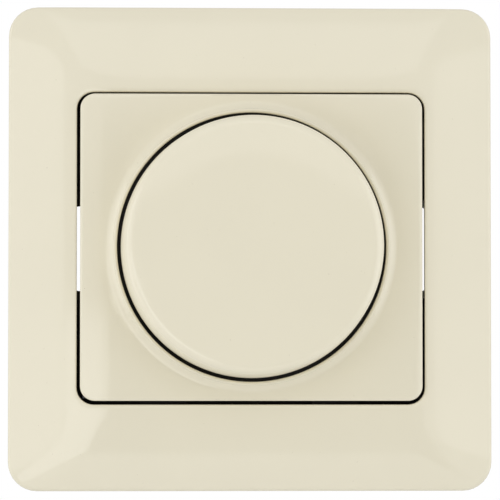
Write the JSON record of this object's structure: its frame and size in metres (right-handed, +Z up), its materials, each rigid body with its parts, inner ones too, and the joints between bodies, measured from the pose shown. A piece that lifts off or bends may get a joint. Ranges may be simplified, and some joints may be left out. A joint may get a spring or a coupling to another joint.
{
  "type": "rotary wall dimmer",
  "caption": "Flush wall dimmer: square soft-edged cover frame, centre plate with a raised collar, round knob that turns and pushes, steel support, housing with terminals and claws.",
  "frame": {"origin": "centre of the steel support's rear face, which lies on the wall", "axes": "+Y into the wall, +Z up, +X to the user's right; the knob turns about the Y axis"},
  "size_m": [0.0835, 0.0468, 0.0835],
  "materials": {
    "ivory_plastic": "polished moulding",
    "knob_plastic": "polished moulding",
    "housing_plastic": "matt moulding",
    "zinc_steel": "zinc plated",
    "spring_steel": "bright",
    "nickel_brass": "nickel plated",
    "brass": "bright",
    "aluminium": "sheared sheet",
    "pressboard": "pressed fibre",
    "board": "resin laminate",
    "carbon": "matt",
    "nylon": "natural",
    "epoxy": "moulded",
    "film_yellow": "potted box",
    "film_red": "dipped",
    "lacquer_blue": "lacquered",
    "ferrite": "powder coated",
    "copper_enamel": "enamelled wire",
    "clear_glass": "clear",
    "tin": "tinned"
  },
  "bodies": {
    "mechanism": {"cover_frame": "ivory_plastic", "centre_plate": "ivory_plastic", "support_plate": "zinc_steel", "mechanism_housing": "housing_plastic", "housing_screws": "zinc_steel", "insulation_sheet": "pressboard", "potentiometer_case": "epoxy", "potentiometer_bush": "nickel_brass", "bush_washer": "zinc_steel", "bush_nut": "nickel_brass", "resistance_track": "carbon", "potentiometer_pins": "tin", "switch_case": "epoxy", "switch_spring": "spring_steel", "circuit_board": "board", "heat_sink": "aluminium", "triac": "epoxy", "triac_screw": "zinc_steel", "choke_core": "ferrite", "choke_winding": "copper_enamel", "fuse_glass": "clear_glass", "fuse_caps": "tin", "fuse_clips": "brass", "suppression_capacitor": "film_yellow", "timing_capacitor": "film_red", "resistors": "lacquer_blue", "diac": "lacquer_blue", "terminal_cage_1": "brass", "terminal_cage_2": "brass", "terminal_cage_3": "brass"},
    "push_core": {"switch_plunger": "nylon"},
    "dial": {"control_shaft": "aluminium", "rotary_knob": "knob_plastic", "knob_clip": "spring_steel"},
    "wiper": {"potentiometer_wiper": "nylon"},
    "clamp_1": {"terminal_clamp_1": "zinc_steel"},
    "terminal_grub_1": {"terminal_screw_1": "zinc_steel"},
    "clamp_2": {"terminal_clamp_2": "zinc_steel"},
    "terminal_grub_2": {"terminal_screw_2": "zinc_steel"},
    "clamp_3": {"terminal_clamp_3": "zinc_steel"},
    "terminal_grub_3": {"terminal_screw_3": "zinc_steel"},
    "claw_drive_left": {"claw_screw_left": "zinc_steel"},
    "claw_runner_left": {"claw_nut_left": "brass"},
    "claw_arm_left": {"claw_left": "zinc_steel", "claw_pin_left": "spring_steel"},
    "claw_drive_right": {"claw_screw_right": "zinc_steel"},
    "claw_runner_right": {"claw_nut_right": "brass"},
    "claw_arm_right": {"claw_right": "zinc_steel", "claw_pin_right": "spring_steel"}
  },
  "joints": [
    {"name": "knob_push", "type": "slide", "parent": "mechanism", "child": "push_core", "axis": [0, 1, 0], "range_m": [0, 0.0012], "stiffness_N_per_m": 1500, "springref_m": -0.0015, "deforming": ["switch_spring"]},
    {"name": "knob_turn", "type": "hinge", "parent": "push_core", "child": "dial", "pos_m": [0, 0, 0], "axis": [0, 1, 0], "range_deg": [-135, 135]},
    {"name": "wiper_turn", "type": "hinge", "parent": "mechanism", "child": "wiper", "pos_m": [0, 0, 0], "axis": [0, 1, 0], "range_deg": [-135, 135]},
    {"name": "claw_screw_left", "type": "hinge", "parent": "mechanism", "child": "claw_drive_left", "pos_m": [-0.0245, 0, 0], "axis": [0, 1, 0], "range_deg": [0, 3600]},
    {"name": "claw_nut_left", "type": "slide", "parent": "mechanism", "child": "claw_runner_left", "axis": [0, -1, 0], "range_m": [0, 0.005]},
    {"name": "claw_spread_left", "type": "hinge", "parent": "mechanism", "child": "claw_arm_left", "pos_m": [-0.02695, 0.003, 0], "axis": [0, 0, 1], "range_deg": [0, 25]},
    {"name": "claw_screw_right", "type": "hinge", "parent": "mechanism", "child": "claw_drive_right", "pos_m": [0.0245, 0, 0], "axis": [0, 1, 0], "range_deg": [0, 3600]},
    {"name": "claw_nut_right", "type": "slide", "parent": "mechanism", "child": "claw_runner_right", "axis": [0, -1, 0], "range_m": [0, 0.005]},
    {"name": "claw_spread_right", "type": "hinge", "parent": "mechanism", "child": "claw_arm_right", "pos_m": [0.02695, 0.003, 0], "axis": [0, 0, -1], "range_deg": [0, 25]},
    {"name": "clamp_slide_1", "type": "slide", "parent": "mechanism", "child": "clamp_1", "axis": [0, -1, 0], "range_m": [0, 0.0025]},
    {"name": "terminal_screw_turn_1", "type": "hinge", "parent": "clamp_1", "child": "terminal_grub_1", "pos_m": [-0.0114, 0.022, -0.0173], "axis": [0, -1, 0], "range_deg": [0, 1500]},
    {"name": "clamp_slide_2", "type": "slide", "parent": "mechanism", "child": "clamp_2", "axis": [0, -1, 0], "range_m": [0, 0.0025]},
    {"name": "terminal_screw_turn_2", "type": "hinge", "parent": "clamp_2", "child": "terminal_grub_2", "pos_m": [0, 0.022, -0.0173], "axis": [0, -1, 0], "range_deg": [0, 1500]},
    {"name": "clamp_slide_3", "type": "slide", "parent": "mechanism", "child": "clamp_3", "axis": [0, -1, 0], "range_m": [0, 0.0025]},
    {"name": "terminal_screw_turn_3", "type": "hinge", "parent": "clamp_3", "child": "terminal_grub_3", "pos_m": [0.0114, 0.022, -0.0173], "axis": [0, -1, 0], "range_deg": [0, 1500]}
  ],
  "couplings": [
    {"joint": "wiper_turn", "follows": "knob_turn", "ratio": 1},
    {"joint": "claw_screw_left", "follows": "claw_nut_left", "rad_per_m": 12566},
    {"joint": "claw_spread_left", "follows": "claw_nut_left", "rad_per_m": 87.266},
    {"joint": "claw_screw_right", "follows": "claw_nut_right", "rad_per_m": 12566},
    {"joint": "claw_spread_right", "follows": "claw_nut_right", "rad_per_m": 87.266},
    {"joint": "terminal_screw_turn_1", "follows": "clamp_slide_1", "rad_per_m": 10472},
    {"joint": "terminal_screw_turn_2", "follows": "clamp_slide_2", "rad_per_m": 10472},
    {"joint": "terminal_screw_turn_3", "follows": "clamp_slide_3", "rad_per_m": 10472}
  ]
}
